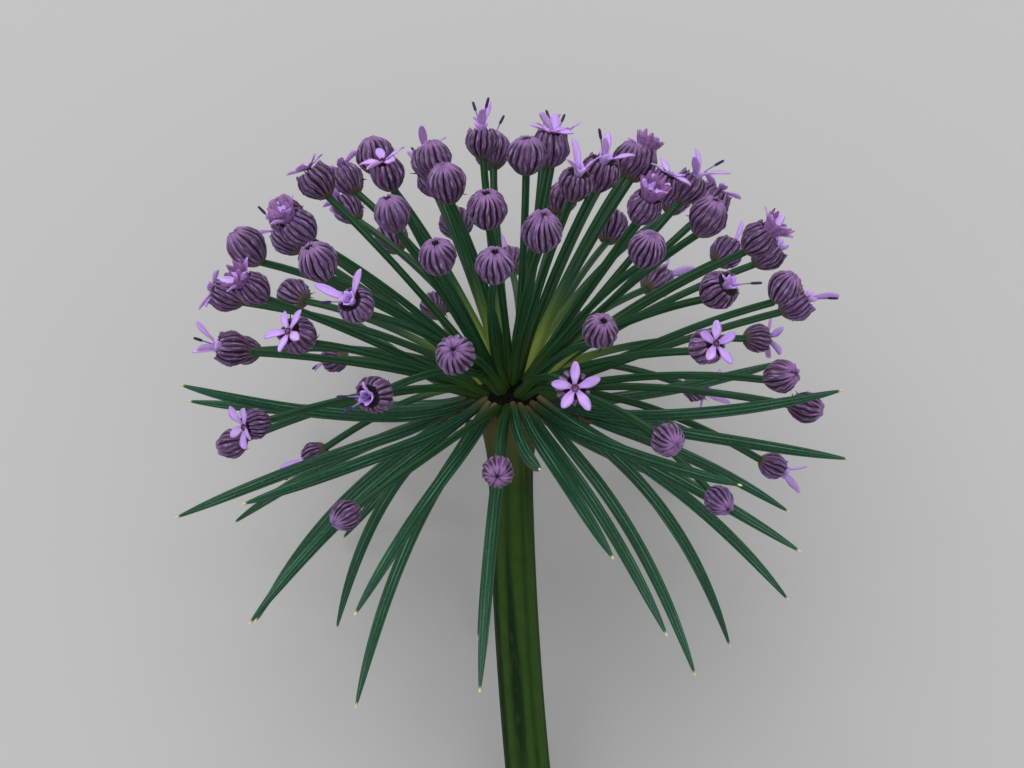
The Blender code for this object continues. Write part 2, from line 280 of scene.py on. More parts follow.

# Receptacle
# The knobbly brown crown that the stem ends in and that everything grows from. It is dry and
# cracked, and its top half, in the hollow between the roots, is painted almost black as shade. A
# few withered, papery scales are left on its side, above the bracts.
RECEPTACLE_RADIUS = 3.4 * MM
RECEPTACLE_SIDES = 96
RECEPTACLE_RINGS = 48
RECEPTACLE_DENT = 0.12
KNOBBLE = 0.16
KNOBBLE_SIZE = 0.7 * MM
CRUMB = 0.5
CRUMB_FINENESS = 2.3
SCALE_SEED = 7
SCALE_COUNT = 11
SCALE_CELLS = (14, 4)
SCALE_SHIFT = 0.3
SCALE_POLAR = (94, 104)
SCALE_LENGTH = (3.0, 6.5)
SCALE_WIDTH = (0.8, 1.5)
SCALE_CRINKLE = 0.35 * MM
SCALE_DROOP = 0.9 * MM
SCALE_POINT = 0.8
SCALE_FOOT = 0.9
SCALE_THICKNESS = 0.1 * MM

receptacle_skin = Skin("receptacle_skin", Specular_IOR_Level=0.2)
crust = receptacle_skin.grain(0.9, (1, 1, 1), 6.0)
crumbs = receptacle_skin.grain(4.0, (1, 1, 1), 4.0)
dry = receptacle_skin.reach(crust, 0.35, 0.65)
receptacle_skin.colour = receptacle_skin.blend(dry, shade(34, 25, 12), shade(98, 80, 46))
receptacle_skin.lay(crumbs, 0.5, 0.75, 0.6, shade(134, 112, 72))
# Painted shade: the top half, towards the hollow between the roots, is darkened almost to black.
receptacle_skin.lay(receptacle_skin.mark("along"), 0.46, 0.58, 0.95, shade(8, 8, 3))
receptacle_skin.wear(receptacle_skin.reach(crust, 0.3, 0.7, 0.7, 0.95), crumbs, 0.25 * MM)

receptacle = new_body()
made = bmesh.ops.create_uvsphere(
    receptacle, u_segments=RECEPTACLE_SIDES, v_segments=RECEPTACLE_RINGS, radius=RECEPTACLE_RADIUS
)
for vert in made["verts"]:
    azimuth = math.atan2(vert.co.y, vert.co.x)
    polar = vert.co.angle(Vector((0, 0, 1)))
    dent = RECEPTACLE_DENT * (math.sin(3 * azimuth) * math.sin(2 * polar)) ** 2
    spot = vert.co / KNOBBLE_SIZE
    lump = noise.noise(spot) + CRUMB * noise.noise(spot * CRUMB_FINENESS)
    mark(receptacle, vert, vert.co / MM, (1 + math.cos(polar)) / 2, 0, 0)
    vert.co *= 1 - dent + KNOBBLE * lump
receptacle.transform(LAID)
add_piece("receptacle", receptacle, [receptacle_skin], "brown_receptacle", "scape_and_bracts")

scale_skin = Skin("scale_skin", Specular_IOR_Level=0.25)
fibre = scale_skin.grain(6.0, (0.2, 1, 1), 4.0)
mottle = scale_skin.grain(1.2, (1, 1, 1))
light = scale_skin.reach(fibre, 0.35, 0.65)
scale_skin.colour = scale_skin.blend(light, shade(86, 68, 48), shade(150, 128, 98))
scale_skin.lay(mottle, 0.45, 0.7, 0.7, shade(70, 84, 44))
scale_skin.wear(scale_skin.reach(fibre, 0.3, 0.7, 0.6, 0.85), fibre, 0.06 * MM)

scales = new_body()
draw = random.Random(SCALE_SEED)
for number in range(SCALE_COUNT):
    azimuth = 2 * math.pi * (number + draw.uniform(-SCALE_SHIFT, SCALE_SHIFT)) / SCALE_COUNT
    polar = math.radians(draw.uniform(*SCALE_POLAR))
    length = draw.uniform(*SCALE_LENGTH) * MM
    width = draw.uniform(*SCALE_WIDTH) * MM
    out = direction(polar, azimuth)
    side = Vector((-math.sin(azimuth), math.cos(azimuth), 0))
    above = out.cross(side)
    cells, rows = SCALE_CELLS
    made = bmesh.ops.create_grid(scales, x_segments=cells, y_segments=rows, size=0.5)["verts"]
    for vert in made:
        way, across = vert.co.x + 0.5, vert.co.y * 2
        crinkle = noise.noise(Vector((way * 5, across * 1.2, number * 3.7)))
        narrow = (1 - SCALE_POINT * way**2) * (1 + 0.5 * crinkle)
        rise = SCALE_CRINKLE * (crinkle * 1.6 - abs(across) * 0.8) - SCALE_DROOP * way**2
        mark(scales, vert, (way * 4, across + 5 * number, way), way, abs(across), 0)
        reach = RECEPTACLE_RADIUS * SCALE_FOOT + length * way
        vert.co = LAID @ (out * reach + side * across * width / 2 * narrow + above * rise)
piece = add_piece("receptacle_scales", scales, [scale_skin], "brown_receptacle", "scape_and_bracts")
thin = piece.modifiers.new("thickness", "SOLIDIFY")
thin.thickness = SCALE_THICKNESS
thin.offset = 0

# Rays
# About eighty thin green stalks that carry the florets. They grow in small sprays that follow the
# plant's spiral from the top down, each from one place on the receptacle, and some have pale roots.
# A high floret faces up more than its ray does, so the ray's neck bends up to it.
GOLDEN_ANGLE = math.radians(137.508)
SEED = 41
RAY_COUNT = 78
SPRAY_COUNT = 16
UMBEL_CAP = 0.95
UMBEL_SKIRT = 0.45
SKIRT_POWER = 8
RAY_LENGTH = 25.5 * MM
RAY_BULGE = 4.5 * MM
BULGE_POLAR = math.radians(65.0)
RAY_SPARE = 0.9 * MM
RAY_JITTER = math.radians(3.2)
NEAR_TOP = 0.25
RAY_RADIUS = 0.4 * MM
RAY_STEPS = 15
RAY_SIDES = 15
RAY_RIDGES = 5
RAY_GROOVE = 0.12
RAY_SLIMMING = 0.95
RAY_BEND = 0.4
ROOT_RADIUS = 0.8 * MM
ROOT_SPREAD = 0.8
ROOT_SQUEEZE = 0.75
ROOT_SWELL = 0.35
PALE_SWELL = 2
SWELL_FADE = 9
FOOT_SUNK = 0.9
FOOT_STEPS = 2
FOOT_MIDDLE = 0.4
GREEN_ROOT = 0.06
PALE_ROOT = 1.0
PALE_SHARE = 0.6
NECK_START = 4
TOUCH_GAP = 0.3 * MM
FLOOR_GAP = 0.6 * MM
BEND_POWER = 1.5
BEND_TRIES = 24
MOST_BEND = math.radians(80)
FLORET_RADIUS = 1.8 * MM
PETAL_LENGTH = 3.4 * MM
PETAL_WIDTH = 1.3 * MM
FLORET_SIZES = (0.92, 1.08)
LOW_LOSS = 0.3
LOSS_POWER = 6
MOUTH = 0.6
PETAL_SPARE = (0.9, 1.1)
RISE_SPARE = (0.7, 1.2)
STAMEN_LEAN = (10, 30)
KINDS = (
    {"name": "bud", "share": 0.42, "petals": (0, 0), "stamens": 0, "rise": 0, "scale": 1.0},
    {"name": "open", "share": 0.40, "petals": (1, 3), "stamens": 1, "rise": 58, "scale": 1.0},
    {"name": "torn", "share": 0.08, "petals": (4, 5), "stamens": 0, "rise": 55, "scale": 0.75},
    {"name": "star", "share": 0.10, "petals": (5, 5), "stamens": 0, "rise": 15, "scale": 0.68},
)
TURN_UP = {"bud": 0.75, "other": 0.25}
TURN_FADES = (math.radians(62), math.radians(95))


def curve(start, middle, end, steps):
    """Points of a bend, laid down with the plant, that leaves start towards middle."""
    points = []
    for step in range(steps + 1):
        t = step / steps
        points.append(LAID @ (start * (1 - t) ** 2 + middle * (2 * t * (1 - t)) + end * t**2))
    return points


def lifted(points, radii, gap):
    """Bends a stalk up about its root, most at its tip, until it clears the floor."""
    root, tip = points[0], points[-1]
    axis = (tip - root).cross(Vector((0, 0, 1))).normalized()
    shares = [((point - root).length / (tip - root).length) ** BEND_POWER for point in points]

    def turned(angle):
        turns = [Matrix.Rotation(angle * share, 3, axis) for share in shares]
        return [root + turn @ (point - root) for turn, point in zip(turns, points)]

    def height(angle):
        return min(point.z - radius for point, radius in zip(turned(angle), radii)) - gap

    low, high = 0.0, MOST_BEND
    if height(low) >= 0:
        return points
    for _ in range(BEND_TRIES):
        middle = (low + high) / 2
        if height(middle) < 0:
            low = middle
        else:
            high = middle
    return turned(high)


def umbel_polar(share):
    """Polar angle that this share of the rays lies above: an even cap, and a thin skirt below."""
    return math.acos(1 - share * (UMBEL_CAP + UMBEL_SKIRT * share**SKIRT_POWER))


def ray_plan(index):
    """Polar angle, azimuth and length of one ray, by the golden angle from the top down."""
    draw = random.Random(SEED * 1000 + index)
    polar = umbel_polar((index + 0.5) / RAY_COUNT)
    azimuth = index * GOLDEN_ANGLE
    azimuth += draw.uniform(-RAY_JITTER, RAY_JITTER) / max(math.sin(polar), NEAR_TOP)
    polar += draw.uniform(-RAY_JITTER, RAY_JITTER)
    length = RAY_LENGTH + RAY_BULGE * math.sin(polar / BULGE_POLAR * math.pi / 2) ** 2
    return polar, azimuth, length + draw.uniform(-RAY_SPARE, RAY_SPARE)


def spray_plan(spray):
    """Polar angle and azimuth of the middle of one spray, by the same rule as its rays."""
    return umbel_polar((spray + 0.5) / SPRAY_COUNT), spray * GOLDEN_ANGLE


def spray_root(spray):
    """Where one spray sits on the receptacle, and the way it points."""
    polar, azimuth = spray_plan(spray)
    out = direction(polar * ROOT_SQUEEZE, azimuth)
    return out * (RECEPTACLE_RADIUS + TOUCH_GAP + ROOT_RADIUS), out


def floret_axis(line):
    """The way that a floret faces on the end of its ray."""
    return (line[-1] - line[-1 - len(line) // 3]).normalized()


def ray_line(spray, polar, azimuth, length, steps):
    """One ray's centre line, from its spray's root to the middle of its floret."""
    end = direction(polar, azimuth) * length
    start, out = spray_root(spray)
    start += (end - out * end.dot(out)).normalized() * ROOT_RADIUS * ROOT_SPREAD
    middle = start + (out + 2 * end.normalized()).normalized() * (end - start).length * RAY_BEND
    line = curve(start, middle, end, steps)
    reach = floret_axis(line) * (FLORET_RADIUS + PETAL_LENGTH / 2)
    radii = [RAY_RADIUS] * steps + [FLORET_RADIUS, PETAL_WIDTH / 2]
    return lifted(line + [line[-1] + reach], radii, FLOOR_GAP)[:-1]


def plan_sprays(steps):
    """Each spray's rays, as pairs of the ray's number and its centre line."""
    middles = [direction(*spray_plan(spray)) for spray in range(SPRAY_COUNT)]
    sprays = [[] for _ in middles]
    for index in range(RAY_COUNT):
        polar, azimuth, length = ray_plan(index)
        out = direction(polar, azimuth)
        nearest = max(range(SPRAY_COUNT), key=lambda spray: middles[spray].dot(out))
        sprays[nearest].append((index, ray_line(nearest, polar, azimuth, length, steps)))
    return sprays


def smooth(value):
    """0 below 0, 1 above 1, and an easy step between."""
    value = min(max(value, 0.0), 1.0)
    return value * value * (3 - 2 * value)


def floret_plan(index):
    """Kind, size and spin of one floret, its petals by turn, rise and length, and its stamens by
    turn and lean."""
    draw = random.Random(SEED * 2000 + index)
    size, spin = draw.uniform(*FLORET_SIZES), draw.uniform(0, math.pi)
    size *= 1 - LOW_LOSS * (index / RAY_COUNT) ** LOSS_POWER
    kind = draw.choices(KINDS, [kind["share"] for kind in KINDS])[0]
    count = draw.randint(*kind["petals"])
    petals, stamens = [], []
    for number in range(count):
        rise = math.radians(kind["rise"] * draw.uniform(*RISE_SPARE))
        length = PETAL_LENGTH * kind["scale"] * draw.uniform(*PETAL_SPARE)
        petals.append((spin + number * 2 * math.pi / max(count, 3), rise, length))
    for _ in range(draw.randint(0, kind["stamens"])):
        stamens.append((draw.uniform(0, 2 * math.pi), math.radians(draw.uniform(*STAMEN_LEAN))))
    return kind["name"], size, spin, petals, stamens


def globe_axis(index, line):
    """The way that a floret's globe faces: high on the head it turns up more than its ray does."""
    axis = floret_axis(line)
    up = LAID.to_3x3() @ Vector((0, 0, 1))
    share = 1 - smooth((axis.angle(up) - TURN_FADES[0]) / (TURN_FADES[1] - TURN_FADES[0]))
    turned = TURN_UP["bud" if floret_plan(index)[0] == "bud" else "other"]
    return (axis + up * turned * share).normalized()


ray_skin = Skin("ray_skin", Specular_IOR_Level=0.2, Coat_Weight=0.03, Coat_Roughness=0.35)
along = ray_skin.mark("along")
pale = ray_skin.mark("tint")
fibre = ray_skin.grain(3.0, (1, 1, 0.05), 4.0)
bloom = ray_skin.grain(1.6, (1, 1, 0.2))
furrow = ray_skin.reach(ray_skin.mark("groove"), 0, 0.8)
ray_skin.colour = ray_skin.blend(furrow, shade(34, 78, 48), shade(8, 36, 12))
ray_skin.lay(fibre, 0.5, 0.7, 0.4, shade(80, 120, 100))
ray_skin.lay(bloom, 0.4, 0.7, 0.3, shade(28, 60, 22))
ray_skin.lay(along, 0.3, 0.05, 0.55, shade(26, 58, 16))
greening = ray_skin.join("MULTIPLY", ray_skin.reach(along, 0.1, 0.5, 0.9, 0), pale)
ray_skin.colour = ray_skin.blend(greening, ray_skin.colour, shade(110, 140, 62))
paling = ray_skin.join("MULTIPLY", ray_skin.reach(along, 0.0, 0.24, 1.0, 0), pale)
ray_skin.colour = ray_skin.blend(paling, ray_skin.colour, shade(162, 176, 84))
ray_skin.wear(ray_skin.reach(fibre, 0.3, 0.7, 0.38, 0.55), fibre, 0.03 * MM)

sprays = plan_sprays(RAY_STEPS)
for spray, rays in enumerate(sprays):
    bm = new_body()
    on_the_back = spray_root(spray)[1].y > 0
    for index, line in rays:
        sheathed = random.Random(SEED * 7000 + index).random() < PALE_SHARE
        pale = PALE_ROOT if on_the_back and sheathed else GREEN_ROOT
        start, free = line[FOOT_STEPS], line[FOOT_STEPS:-1]
        foot = CROWN + (start - CROWN).normalized() * RECEPTACLE_RADIUS * FOOT_SUNK
        axis = globe_axis(index, line)
        shift = line[-1] - axis * FLORET_RADIUS - line[-2]
        points = [foot, foot.lerp(start, FOOT_MIDDLE)]
        for i, point in enumerate(free):
            way = (i - NECK_START) / (len(free) - 1 - NECK_START)
            points.append(point + shift * max(way, 0) ** 3)
        points.append(line[-1] - axis * FLORET_RADIUS / 2)
        swell = ROOT_SWELL * (1 + PALE_SWELL * pale)
        radii = []
        for i in range(len(points)):
            way = i / (len(points) - 1)
            radii.append(RAY_RADIUS * (RAY_SLIMMING + swell * math.exp(-way * SWELL_FADE)))
        grow_stalk(bm, points, radii, RAY_SIDES, RAY_RIDGES, RAY_GROOVE, pale)
    name = f"spray_{spray + 1:02}"
    add_piece(name + "_rays", bm, [ray_skin], "green_stalk", name)

# Bracts
# Thirty or so long green needles that spread and droop under the umbel. They are ridged, with a
# white bloom on the ridges, blunt and brown at the root, and pointed, with a tiny cream tip. Each
# grew past the rays and its neighbours, so a few have swung round the stem by some degrees.
BRACT_COUNT = 32
BRACT_LENGTH = 34.2 * MM
BRACT_SPARE = 1.2 * MM
BRACT_RADIUS = 0.6 * MM
SOLID_TAPER = 0.8
SOLID_POINT = 5
BRACT_ROOT = math.radians(100.0)
BRACT_SUNK = 0.88
BRACT_HIGHEST = math.radians(81.0)
BRACT_LOWEST = math.radians(142.0)
BRACT_LEVEL = math.radians(100.0)
BRACT_FLARE = 0.45
BRACT_TURN = math.radians(204.0)
BRACT_SWINGS = {3: 18, 9: -4, 10: -8, 11: 10, 19: 2, 23: -4}
BRACT_STEPS = 30
BRACT_RIDGES = 10
BRACT_GROOVE = 0.07
TIP_TAPER = 0.86
TIP_POINT = 8
ROOT_WIDTH = 0.74
ROOT_REACH = 0.35
HEEL_WIDTH = 0.7
BRACT_SIDES = 5 * BRACT_RIDGES
RESTING_BRACTS = (15, 20)
HEEL_POLAR = (72, 88)
HEEL_STEPS = 9


def bract_line(index):
    """One bract's centre line, from a blunt heel on the receptacle's side to its tip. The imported
    model's taper says how far it is lifted off the floor, so that both lie alike."""
    draw = random.Random(SEED * 3000 + index)
    share = (index + 0.5) / BRACT_COUNT
    polar = BRACT_HIGHEST + (BRACT_LOWEST - BRACT_HIGHEST) * share
    azimuth = BRACT_TURN + index * GOLDEN_ANGLE + math.radians(BRACT_SWINGS.get(index, 0))
    length = BRACT_LENGTH + draw.uniform(-BRACT_SPARE, BRACT_SPARE)
    start = direction(BRACT_ROOT, azimuth) * RECEPTACLE_RADIUS * BRACT_SUNK
    leave = BRACT_LEVEL + (polar - BRACT_LEVEL) * BRACT_FLARE
    middle = start + direction(leave, azimuth) * length * BRACT_FLARE
    line = curve(start, middle, direction(polar, azimuth) * length, BRACT_STEPS)
    ways = [i / BRACT_STEPS for i in range(BRACT_STEPS + 1)]
    radii = [BRACT_RADIUS * (1 - SOLID_TAPER * way**SOLID_POINT) for way in ways]
    line = lifted(line, radii, 0.0 if index in RESTING_BRACTS else FLOOR_GAP)
    heel = direction(math.radians(draw.uniform(*HEEL_POLAR)), azimuth)
    shift = LAID @ (heel * RECEPTACLE_RADIUS) - line[0]
    return [point + shift * max(1 - i / HEEL_STEPS, 0) ** 2 for i, point in enumerate(line)]


bract_skin = Skin("bract_skin", Specular_IOR_Level=0.22, Coat_Weight=0.03, Coat_Roughness=0.4)
along = bract_skin.mark("along")
fibre = bract_skin.grain(4.0, (1, 1, 0.04), 4.0)
specks = bract_skin.grain(26.0, (1, 1, 0.35), 1.0)
streak = bract_skin.grain(0.9, (1, 1, 0.12), 1.0)
ridge = bract_skin.reach(bract_skin.mark("groove"), 0.0, 0.26, 1, 0)
ridge = bract_skin.join("MULTIPLY", ridge, bract_skin.reach(streak, 0.4, 0.6, 0.25, 1))
bract_skin.colour = bract_skin.blend(ridge, shade(16, 62, 36), shade(46, 102, 76))
bloom = bract_skin.join("MULTIPLY", ridge, bract_skin.reach(fibre, 0.44, 0.68, 0.0, 0.55))
bract_skin.colour = bract_skin.blend(bloom, bract_skin.colour, shade(122, 166, 152))
bract_skin.lay(specks, 0.66, 0.74, 0.7, shade(170, 190, 190))
bract_skin.lay(along, 0.12, 0.03, 0.7, shade(78, 90, 60))
bract_skin.lay(along, 0.05, 0.0, 0.9, shade(128, 112, 84))
bract_skin.lay(along, 0.982, 0.995, 1, shade(214, 200, 150))
bract_skin.wear(bract_skin.reach(fibre, 0.3, 0.7, 0.4, 0.6), fibre, 0.03 * MM)

bract_radii = []
for i in range(BRACT_STEPS + 1):
    way = i / BRACT_STEPS
    filling = ROOT_WIDTH + (1 - ROOT_WIDTH) * smooth(way / ROOT_REACH)
    bract_radii.append(BRACT_RADIUS * (1 - TIP_TAPER * way**TIP_POINT) * filling)
bract_radii[0] *= HEEL_WIDTH
bm = new_body()
for index in range(BRACT_COUNT):
    line, tint = bract_line(index), index / BRACT_COUNT
    grow_stalk(bm, line, bract_radii, BRACT_SIDES, BRACT_RIDGES, BRACT_GROOVE, tint)
add_piece("bracts", bm, [bract_skin], "green_stalk", "scape_and_bracts")

# Floret globes
# One on the end of each ray: a globe of uneven plum ribs with narrow grooves between them. Painted
# shade darkens the grooves, the open mouths, a bud's pucker and the dips of its top almost to black,
# a painted highlight lightens the rib crests, and the top is paler, partly by its own lilac and
# partly by painted light from above. A bud is puckered shut at its top, and the others are open
# there, with a ragged rim. Small dry slivers stick out of some.
GLOBE_RIBS = (15, 16, 17, 18)
POINTS_A_RIB = 6
GLOBE_RINGS = 26
GLOBE_STRETCH = (0.98, 1.12)
GLOBE_TWIST = 0.25
GLOBE_FULLNESS = 0.9
GLOBE_GROOVE = 0.17
GROOVE_ROUNDNESS = 1.3
GROOVE_CUTS = (0.5, 1)
BASE_TAPER = 0.25
BASE_SMOOTH = 0.35
RIB_BULGE = 0.05
RIB_FRAY = 0.06
RIB_WAVER = 0.07
WAVER_FINENESS = 2
FRAY_FINENESS = 6
FRAY_HEIGHT = 11
TOP_START = 0.68
TOP_REACH = 0.28
TOP_NARROWING = 0.2
TOP_FRAY = 0.12
TOP_GROOVE_LOSS = 0.7
LOBE_RISE = 0.7
PUCKER_WIDTH = 0.3
PUCKER_DEPTH = 0.25
# Painted shade in the pucker's pit and in the dips of a bud's top: how dark, and how far it reaches.
PUCKER_SHADE = (0.9, 0.7)
TOP_DIP_SHADE = (0.5, 2)
BUD_LOBES = (5, 6)
BUD_CROWNS = (
    {"pucker": 0.25, "lobe": 0.08},
    {"pucker": 1.0, "lobe": 0.1},
    {"pucker": 0.5, "lobe": 0.26},
)
MOUTH_POLAR = math.radians(42)
CUP_DEPTH = 0.35
RIM_WIDTH = math.radians(12)
RIM_CREST = 0.16
RIM_BULGE = 0.1
RIM_FRAY = 0.12
RIM_SPREAD = (0.08, 0.1)
# How far in from the rim the painted shade inside an open mouth grows to its full.
MOUTH_SHADE = 0.3
GRAIN_SHIFT = 7
SLIVER_SHARE = 0.65
SLIVER_FOOT = (0.97, 0.2)
SLIVER_RADIUS = 0.07 * MM
SLIVER_LENGTH = (0.15, 0.5)
SLIVER_WAYS = (-0.3, 0.2, 0.6, 1)
SLIVER_TAPER = (1.2, 1, 0.7, 0.2)
SLIVER_SIDES = 5
BASE_SLIVERS = (4, 9)
BASE_POLARS = (112, 152)
RIM_SLIVERS = (1, 4)
RIM_POLARS = (38, 52)


def place(point, axis, spin=0.0):
    """A matrix at point with Z along axis, turned about it by spin."""
    turn = axis.to_track_quat("Z", "Y").to_matrix().to_4x4()
    return Matrix.Translation(point) @ turn @ Matrix.Rotation(spin, 4, "Z")


def make_ball(ribs):
    """A plain sphere with a point on the crest and in the groove of each of so many ribs."""
    bm = bmesh.new()
    bmesh.ops.create_uvsphere(bm, u_segments=POINTS_A_RIB * ribs, v_segments=GLOBE_RINGS, radius=1)
    ball = bpy.data.meshes.new(f"ball_{ribs}")
    bm.to_mesh(ball)
    bm.free()
    return ball


def grow_globe(bm, where, radius, kind, index, ball, ribs):
    """One floret's globe: a sphere drawn into uneven ribs, and pinched or opened at its top."""
    draw = random.Random(SEED * 4000 + index)
    twist = draw.uniform(-GLOBE_TWIST, GLOBE_TWIST)
    stretch = draw.uniform(*GLOBE_STRETCH)
    tint = draw.random()
    bulges = [draw.uniform(-1, 1) for _ in range(ribs)]
    cuts = [draw.uniform(*GROOVE_CUTS) for _ in range(ribs)]
    lobes = draw.choice(BUD_LOBES)
    lobe_turn = draw.uniform(0, 6)
    crown = draw.choice(BUD_CROWNS)
    bm.from_mesh(ball)
    bm.verts.ensure_lookup_table()
    made = bm.verts[len(bm.verts) - len(ball.vertices):]
    for vert in made:
        up = min(max(vert.co.z, -1), 1)
        polar, turn = math.acos(up), math.atan2(vert.co.y, vert.co.x)
        rib = turn * ribs / (2 * math.pi)
        crest = abs(math.cos(rib * math.pi))
        bulge = bulges[round(rib) % ribs] * crest
        cut = (1 - crest) * cuts[math.floor(rib) % ribs] * smooth((up + 1) / BASE_SMOOTH)
        x, y = math.cos(turn), math.sin(turn)
        fray = noise.noise(Vector((x * FRAY_FINENESS + index, y * FRAY_FINENESS, up * FRAY_HEIGHT)))
        across = math.sin(polar) ** GLOBE_FULLNESS * (1 + BASE_TAPER * min(up, 0))
        height = up * stretch
        groove = cut
        if kind == "bud":
            top = smooth((up - TOP_START) / TOP_REACH)
            lobe = abs(math.cos(turn * lobes / 2 + lobe_turn)) * crown["lobe"]
            cut *= 1 - TOP_GROOVE_LOSS * top
            pucker = max(1 - polar / PUCKER_WIDTH, 0) * crown["pucker"]
            across *= 1 - top * (TOP_NARROWING - lobe)
            height += top * (lobe * LOBE_RISE + TOP_FRAY * fray) - PUCKER_DEPTH * pucker
            # The grooves, the pucker's pit and the dips of a bud's top are marked for painted shade.
            pit_shade = PUCKER_SHADE[0] * smooth(pucker / PUCKER_SHADE[1])
            groove = max(cut, pit_shade, TOP_DIP_SHADE[0] * top * smooth(-fray * TOP_DIP_SHADE[1]))
        else:
            rim = max(1 - abs(polar - MOUTH_POLAR) / RIM_WIDTH, 0)
            inside = max(1 - polar / MOUTH_POLAR, 0)
            height = min(up, math.cos(MOUTH_POLAR)) * stretch
            height -= CUP_DEPTH * (1 - (1 - inside) ** 2)
            height += rim * (RIM_CREST * (crest - 0.5) + RIM_BULGE * bulge + RIM_FRAY * fray)
            across *= 1 + rim * (RIM_SPREAD[0] * bulge + RIM_SPREAD[1] * fray)
            # The grooves and the inside of the open mouth are marked for painted shade.
            groove = max(cut, smooth(inside / MOUTH_SHADE))
        across *= 1 - GLOBE_GROOVE * cut**GROOVE_ROUNDNESS + RIB_BULGE * bulge + RIB_FRAY * fray
        spot = Vector((x * WAVER_FINENESS, y * WAVER_FINENESS, up * WAVER_FINENESS + index))
        sway = noise.noise(spot)
        around = turn + twist * up + RIB_WAVER * sway
        vert.co = Vector((across * math.cos(around), across * math.sin(around), height)) * radius
        mark(bm, vert, (x + GRAIN_SHIFT * index, y, up), (1 + up) / 2, groove, tint)
    bmesh.ops.transform(bm, matrix=where, verts=made)


def grow_slivers(bm, where, radius, draw, count, polars):
    """A few thin dry slivers that stand out of a globe, between two polar angles in degrees."""
    turn = draw.uniform(0, 2 * math.pi)
    for _ in range(count):
        polar = math.radians(draw.uniform(*polars))
        azimuth = turn + draw.uniform(-1, 1)
        out = direction(polar, azimuth)
        length = draw.uniform(*SLIVER_LENGTH) * MM
        bend = Vector([draw.uniform(-1, 1) for _ in range(3)]) * length
        base = out * radius * (SLIVER_FOOT[0] - SLIVER_FOOT[1] * max(-math.cos(polar), 0))
        points = [where @ (base + out * length * way + bend * way**2) for way in SLIVER_WAYS]
        first = len(bm.verts)
        grow_stalk(bm, points, [SLIVER_RADIUS * wide for wide in SLIVER_TAPER], SLIVER_SIDES)
        bm.verts.ensure_lookup_table()
        for vert in bm.verts[first:]:
            mark(bm, vert, vert.co / MM, 0.5, 0.8, 0)


globe_skin = Skin("globe_skin", Specular_IOR_Level=0.28, Sheen_Weight=0.08, Sheen_Roughness=0.5)
along = globe_skin.mark("along")
deep = globe_skin.mark("groove")
fibre = globe_skin.grain(10.0, (1, 1, 0.22), 5.0)
patch = globe_skin.grain(1.6, (1, 1, 1), 2.0)
globe_skin.colour = globe_skin.blend(globe_skin.mark("tint"), shade(84, 54, 92), shade(104, 76, 124))
# Painted highlight: the rib crests, away from the grooves, are lightened.
globe_skin.lay(deep, 0.12, 0.0, 0.45, shade(138, 106, 158))
globe_skin.lay(patch, 0.35, 0.7, 0.5, shade(72, 40, 62))
globe_skin.lay(fibre, 0.5, 0.7, 0.85, shade(164, 134, 182))
globe_skin.lay(fibre, 0.46, 0.32, 0.75, shade(50, 24, 48))
# Lighter and pinker towards the top: partly the floret's own lilac near its mouth, partly painted
# light from above.
globe_skin.lay(along, 0.78, 0.98, 0.55, shade(166, 124, 184))
globe_skin.lay(along, 0.2, 0.05, 0.9, shade(88, 78, 50))
# Painted shade: the grooves, the open mouths and the pucker pits are darkened almost to black.
globe_skin.lay(deep, 0.22, 0.62, 1, shade(26, 12, 26))
globe_skin.wear(globe_skin.reach(fibre, 0.3, 0.7, 0.5, 0.75), fibre, 0.1 * MM)

balls = {ribs: make_ball(ribs) for ribs in GLOBE_RIBS}
for spray, rays in enumerate(sprays):
    bm = new_body()
    for index, line in rays:
        kind, size, spin, *_ = floret_plan(index)
        where = place(line[-1], globe_axis(index, line), spin)
        radius = FLORET_RADIUS * size
        ribs = GLOBE_RIBS[index % len(GLOBE_RIBS)]
        grow_globe(bm, where, radius, kind, index, balls[ribs], ribs)
        draw = random.Random(SEED * 8000 + index)
        if draw.random() < SLIVER_SHARE:
            grow_slivers(bm, where, radius, draw, draw.randint(*BASE_SLIVERS), BASE_POLARS)
        if kind != "bud" and draw.random() < SLIVER_SHARE:
            grow_slivers(bm, where, radius, draw, draw.randint(*RIM_SLIVERS), RIM_POLARS)
    name = f"spray_{spray + 1:02}"
    add_piece(name + "_globes", bm, [globe_skin], "plum_floret", name)
for ball in balls.values():
    bpy.data.meshes.remove(ball)

# Petals
# Thin lilac petals with a narrow claw that rise from a small ruffled tube in a floret's mouth. A
# star has five spread flat round a brown eye, and a torn floret has its darker skirt of pleats
# opened wide.
PETAL_THICKNESS = 0.1 * MM
PETAL_CELLS = (12, 4)
PETAL_CLAW = 0.4
CLAW_START = 0.1
CLAW_REACH = 0.5
PETAL_WIDEST = 0.62
PETAL_NARROWING = 0.95
POINT_BLUNTNESS = 1.7
PETAL_CHANNEL = (0.1, 0.6)
PETAL_TWIST = 0.6
PETAL_SWAY = 0.12
PETAL_WAVE = 0.06
WAVE_TURNS = 9
WAVE_SHIFT = 4
OPEN_WIDTH = 0.85 * MM
STAR_WIDTH = 0.9 * MM
OPEN_CURL = (-0.3, 0.1)
STAR_CURL = (-0.12, 0.06)
TUBE_RINGS = ((0.3, -0.5), (0.34, 0.1), (0.5, 0.5), (0.62, 0.75))
EYE_RINGS = ((0.2, -0.4), (0.24, 0.02), (0.3, 0.16), (0.24, 0.24))
SKIRT_RINGS = ((0.8, -0.4), (0.7, 0.2), (0.9, 0.7), (1.2, 1.15), (1.4, 1.55))
POINTS_A_PLEAT = 6
TOOTH_LENGTH = (0.4, 1.6)
TOOTH_START = 3
TOOTH_POINT = 1.5
